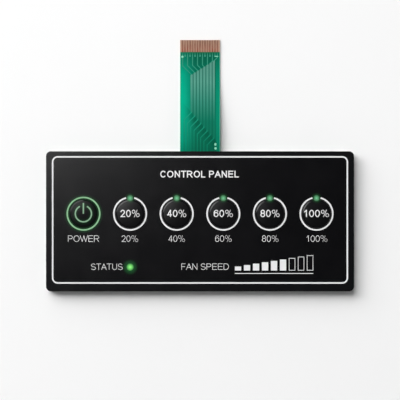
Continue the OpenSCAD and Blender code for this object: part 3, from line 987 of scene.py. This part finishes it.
def along_tail(tree, y, stops):
    """A colour that changes along the tail, given as (place in mm, colour) stops."""
    ramp = tree.nodes.new("ShaderNodeValToRGB")
    first, last = stops[0][0] * MM, stops[-1][0] * MM
    while len(ramp.color_ramp.elements) < len(stops):
        ramp.color_ramp.elements.new(0.5)
    for element, (place, colour) in zip(ramp.color_ramp.elements, stops):
        element.position = (place * MM - first) / (last - first)
        element.color = (*colour, 1)
    feed(tree, ramp.inputs[0], number(tree, "DIVIDE", number(tree, "SUBTRACT", y, first), last - first))
    return ramp.outputs["Color"]


def tail_parts(tree):
    """The place on the tail as separate numbers."""
    parts = tree.nodes.new("ShaderNodeSeparateXYZ")
    feed(tree, parts.inputs[0], object_point(tree))
    return parts


print("zone helpers ready")

# %% [markdown]
# The colours of the coat are given as stops along the tail, in millimetres from the panel's middle:
# one list for the wide bands at the sides, one for the ground between the tracks and one for the gaps
# in the field. The band and ground lists also hold painted light and shade of the bend: lighter in
# the middle of the tail and darker towards the panel.

# %% Cover coat finish
# Band and ground stops hold painted shade towards the panel and painted light in the middle of the bend.
BAND_AND_BEND_SHADE_STOPS = [(34, shade(2, 128, 100)), (40, shade(3, 152, 121)), (50, shade(3, 162, 129)),
              (62, shade(2, 171, 136)), (74, shade(2, 165, 132)), (79, shade(6, 142, 112)),
              (85, shade(10, 112, 86))]
INNER_AND_BEND_SHADE_STOPS = [(34, shade(8, 94, 71)), (42, shade(9, 103, 78)), (50, shade(10, 108, 84)),
               (70, shade(10, 108, 84)), (78, shade(8, 104, 80)), (83.4, shade(10, 95, 70)),
               (85, shade(20, 98, 66))]
GAP_STOPS = [(34, shade(4, 92, 68)), (52, shade(12, 104, 82)), (66, shade(42, 116, 98)),
             (80, shade(58, 124, 106))]
# Painted highlight along both cut edges of the tail.
EDGE_HIGHLIGHT_GREEN = shade(96, 212, 180)
EDGE_HIGHLIGHT_WIDTH = 0.45 * MM
SHADY_GREEN = shade(14, 102, 74)
SHADY_SIDE = (-4 * MM, 9 * MM)
GROUND_LEFT = (-9.5 * MM, -1.5 * MM)
GROUND_RIGHT = (8.4 * MM, 7.6 * MM)
BEND_GREEN = shade(4, 82, 60)
CLOUD_GREEN = shade(4, 92, 70)
COAT_END = 0.1 * MM


def cover_coat():
    """Glossy green coat over the laminate, bare and copper-brown at the contacts."""
    coat, tree, shader = new_finish("cover_coat", Roughness=0.16, Specular_IOR_Level=0.25)
    parts = tail_parts(tree)
    x, y = parts.outputs["X"], parts.outputs["Y"]
    band = along_tail(tree, y, BAND_AND_BEND_SHADE_STOPS)
    right = fade(tree, x, *SHADY_SIDE)
    band = mixed(tree, number(tree, "MULTIPLY", right, 0.58), band, SHADY_GREEN)
    inner = number(tree, "MULTIPLY", fade(tree, x, *GROUND_LEFT), fade(tree, x, *GROUND_RIGHT))
    green = mixed(tree, inner, band, along_tail(tree, y, INNER_AND_BEND_SHADE_STOPS))
    green = mixed(tree, number(tree, "MULTIPLY", inner, bend_zone(tree, parts)), green, BEND_GREEN)
    green = mixed(tree, field_zone(tree, parts), green, along_tail(tree, y, GAP_STOPS))
    cloud = speckle(tree, object_point(tree), 3 * MM)
    green = mixed(tree, number(tree, "MULTIPLY", cloud, 0.12), green, CLOUD_GREEN)
    # Painted highlight: a paler green along both cut edges stands in for the light the edges catch.
    edge_highlight = fade(tree, number(tree, "ABSOLUTE", x), tail_tip.x - EDGE_HIGHLIGHT_WIDTH, tail_tip.x, 0.0, 0.6)
    green = mixed(tree, edge_highlight, green, EDGE_HIGHLIGHT_GREEN)
    bare = fade(tree, y, contact_y - COAT_END, contact_y + COAT_END)
    tan = mixed(tree, cloud, shade(174, 138, 116), shade(192, 158, 138))
    feed(tree, shader["Base Color"], mixed(tree, bare, green, tan))
    feed(tree, shader["Normal"], grain(tree, speckle(tree, object_point(tree), 0.8 * MM), 0.0015 * MM))
    return coat


circuit_sheet = make_piece("circuit_sheet", sheet_bm, cover_coat(), smooth=True)
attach(circuit_sheet, "panel")
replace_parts(circuit_sheet, "flex_circuit")
print("circuit sheet dressed")

# %% [markdown]
# ## Tracks and contacts
# The conductors are copper under the same green coat, so they read as paler, greyer green where they
# are wide and as faint ridges where they are narrow. The fingers at the tip are bare copper that has
# dulled, brown with a redder cast here and there. Their solids stay and only the finish is made.

# %% Track and contact finishes
TRACK_STOPS = [(34, shade(14, 112, 84)), (50, shade(16, 116, 91)), (60, shade(56, 139, 119)),
               (70, shade(91, 159, 141)), (81, shade(92, 152, 136)), (85, shade(60, 140, 112))]
# The lead stops also darken towards the panel: painted shade of the bend.
LEAD_AND_BEND_SHADE_STOPS = [(34, shade(12, 116, 88)), (42, shade(16, 132, 103)), (50, shade(26, 148, 119)),
              (56, shade(24, 154, 124)), (72, shade(34, 146, 118)), (83.2, shade(58, 150, 124)),
              (85, shade(30, 106, 74))]
COPPER_ROUGH = (0.42, 0.6)


def masked_copper():
    """Copper seen through the green coat, greyer in the field of wide tracks."""
    copper, tree, shader = new_finish("masked_copper", Roughness=0.16, Specular_IOR_Level=0.25)
    parts = tail_parts(tree)
    leads = along_tail(tree, parts.outputs["Y"], LEAD_AND_BEND_SHADE_STOPS)
    wide = along_tail(tree, parts.outputs["Y"], TRACK_STOPS)
    colour = mixed(tree, field_zone(tree, parts), leads, wide)
    cloud = number(tree, "MULTIPLY", speckle(tree, object_point(tree), 2 * MM), 0.14)
    feed(tree, shader["Base Color"], mixed(tree, cloud, colour, shade(12, 106, 82)))
    feed(tree, shader["Normal"], grain(tree, speckle(tree, object_point(tree), 0.8 * MM), 0.0015 * MM))
    return copper


def dull_copper():
    """Bare copper contacts, redder at the root and greyer at the tip, with lengthwise wipe marks."""
    copper, tree, shader = new_finish("dull_copper", Metallic=0.35)
    point = object_point(tree)
    stretch = tree.nodes.new("ShaderNodeMapping")
    feed(tree, stretch.inputs["Vector"], point)
    stretch.inputs["Scale"].default_value = (1, 0.12, 1)
    wipe = speckle(tree, stretch.outputs[0], 0.5 * MM)
    tip = fade(tree, tail_parts(tree).outputs["Y"], contact_y + 1 * MM, tail_tip.y)
    dark = mixed(tree, tip, shade(146, 78, 60), shade(120, 86, 70))
    feed(tree, shader["Base Color"], mixed(tree, fade(tree, wipe, 0.35, 0.65), dark, shade(160, 118, 98)))
    feed(tree, shader["Roughness"], fade(tree, wipe, *NOISE_SPAN, *COPPER_ROUGH))
    feed(tree, shader["Normal"], grain(tree, wipe, 0.004 * MM))
    return copper


dress(masked_copper(), "copper_tracks")
dress(dull_copper(), "contact_fingers")
print("tracks and contacts dressed")

# %% [markdown]
# ## Ink marks on the tail
# The tail carries a few plain marks in pale ink for the assembler: a dot and a dash beside the
# contacts and two small pads near the panel. They are flat discs, stretched where a mark is long, and
# a little thicker than a track.

# %% Tail marks
MARK_T = 0.05 * MM
MARK_SEGMENTS = 20
MARKS = [(-8.85, 82.6, 1.1, 1.1), (8.3, 82.8, 2.0, 0.5), (7.7, 38.5, 1.1, 1.4), (7.8, 36.5, 1.2, 1.3)]

marks_bm = bmesh.new()
for x, y, width, height in MARKS:
    mark = bmesh.ops.create_circle(marks_bm, cap_ends=True, segments=MARK_SEGMENTS, radius=0.5)["verts"]
    bmesh.ops.scale(marks_bm, verts=mark, vec=(width * MM, height * MM, 1))
    bmesh.ops.translate(marks_bm, verts=mark, vec=(x * MM, y * MM, tail_under(y * MM) + circuit_t))
thicken(marks_bm, MARK_T)
mark_ink = mottled_finish("mark_ink", shade(106, 202, 166), shade(152, 226, 196), 0.4 * MM, 0.002 * MM,
                          (0.4, 0.55))
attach(make_piece("tail_marks", marks_bm, mark_ink), "panel")
print("tail marks:", len(MARKS))

# %% [markdown]
# ## Snap domes
# Under each key a four-legged steel dome clicks flat and bridges its pads. A radial line is spun to a
# disc, the rim is drawn in between the legs, and the disc is bent over the dome's sphere. When a key
# is pressed, the dome flattens on its pads; here each dome is drawn at rest and attached to the panel.

# %% Domes
DOME_R = 5 * MM
DOME_T = 0.1 * MM
DOME_TRAVEL = 0.4 * MM
DOME_FOOT = 0.3 * MM
BITE_R = 2.8 * MM
BITE_AT = 6.6 * MM
DOME_RINGS = 8
DOME_SEGMENTS = 96
DOME_LEGS = 4

dome_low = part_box("dome_20")[0].z
dome_span = DOME_R - DOME_FOOT
dome_sphere = (dome_span ** 2 + DOME_TRAVEL ** 2) / (2 * DOME_TRAVEL)


def dome_rim(angle):
    """Distance of the dome's rim from its middle, drawn in by a round bite between two legs."""
    part = 2 * math.pi / DOME_LEGS
    off = (angle + part / 2) % part - part / 2
    inside = BITE_R ** 2 - (BITE_AT * math.sin(off)) ** 2
    if inside <= 0:
        return DOME_R
    return min(DOME_R, BITE_AT * math.cos(off) - math.sqrt(inside))


def dome_rise(r):
    """Height of the dome's underside above its pads."""
    return max(0.0, DOME_TRAVEL - dome_sphere + math.sqrt(dome_sphere ** 2 - r ** 2))


dome_steel = mottled_finish("dome_steel", (0.52, 0.51, 0.49), (0.62, 0.61, 0.58), 1.2 * MM, 0.001 * MM,
                            (0.25, 0.4), Metallic=1.0)
dome_spoke = [(DOME_R * i / DOME_RINGS, dome_low) for i in range(DOME_RINGS + 1)]
for key in KEYS:
    dome_bm = spun(dome_spoke, key_at[key], DOME_SEGMENTS)
    for v in dome_bm.verts:
        out = v.co.xy - key_at[key].xy
        drawn = out * dome_rim(math.atan2(out.y, out.x)) / DOME_R
        v.co.xy = key_at[key].xy + drawn
        v.co.z = dome_low + dome_rise(drawn.length)
    thicken(dome_bm, DOME_T)
    dome = make_piece("snap_dome_" + key, dome_bm, dome_steel, smooth=True)
    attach(dome, "panel")
    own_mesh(dome)
    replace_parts(dome, "dome_" + key)
print("domes:", len(KEYS))

# %% [markdown]
# ## The layers inside
# The rest of the stack shows only at its cut edge and on the rear, but each layer still gets its own
# material: black spacer film, milky transfer adhesive, a black anodised plate, smooth liner paper,
# amber stiffener, plated pads, clear plungers and small white lamps.

# %% Finishes of the layers
black_film = mottled_finish("spacer_film", (0.020, 0.020, 0.022), (0.032, 0.032, 0.035), 2 * MM,
                            0.001 * MM, (0.45, 0.6))
adhesive = mottled_finish("transfer_adhesive", (0.62, 0.62, 0.55), (0.72, 0.72, 0.66), 1.5 * MM,
                          0.002 * MM, (0.3, 0.45))
anodised = mottled_finish("black_anodised", (0.016, 0.016, 0.018), (0.026, 0.026, 0.028), 0.8 * MM,
                          0.002 * MM, (0.38, 0.5), Metallic=0.6)
liner = mottled_finish("liner_paper", (0.74, 0.69, 0.56), (0.82, 0.77, 0.65), 3 * MM,
                       0.004 * MM, (0.5, 0.65))
amber = mottled_finish("amber_stiffener", (0.36, 0.15, 0.02), (0.46, 0.21, 0.035), 4 * MM,
                       0.001 * MM, (0.22, 0.34))
gold = mottled_finish("plated_pads", (0.72, 0.50, 0.22), (0.82, 0.60, 0.30), 0.8 * MM,
                      0.001 * MM, (0.25, 0.4), Metallic=1.0)
clear = mottled_finish("clear_plastic", (0.80, 0.84, 0.84), (0.86, 0.89, 0.88), 3 * MM,
                       0.001 * MM, (0.12, 0.22))
lamp_body = mottled_finish("lamp_body", (0.74, 0.74, 0.62), (0.84, 0.84, 0.74), 0.6 * MM,
                           0.001 * MM, (0.35, 0.5))
print("layer finishes ready")

# %% [markdown]
# The solids of these layers are plain sheets, discs and blocks that already have the right shape, so
# each keeps its mesh and only takes its finish. They could be drawn again with softer edges, but at a
# tenth of a millimetre nobody would see that.

# %% Layers dressed
dress(black_film, "dome_spacer")
dress(adhesive, "overlay_adhesive", "circuit_adhesive", "mounting_adhesive")
dress(anodised, "backing_plate")
dress(liner, "release_liner")
dress(amber, "tail_stiffener")
dress(gold, "dome_contact_pads")
dress(clear, "light_guide_ring", *["plunger_" + key for key in KEYS])
dress(lamp_body, *["led_" + lamp for lamp in lamp_at])
print("layers dressed")
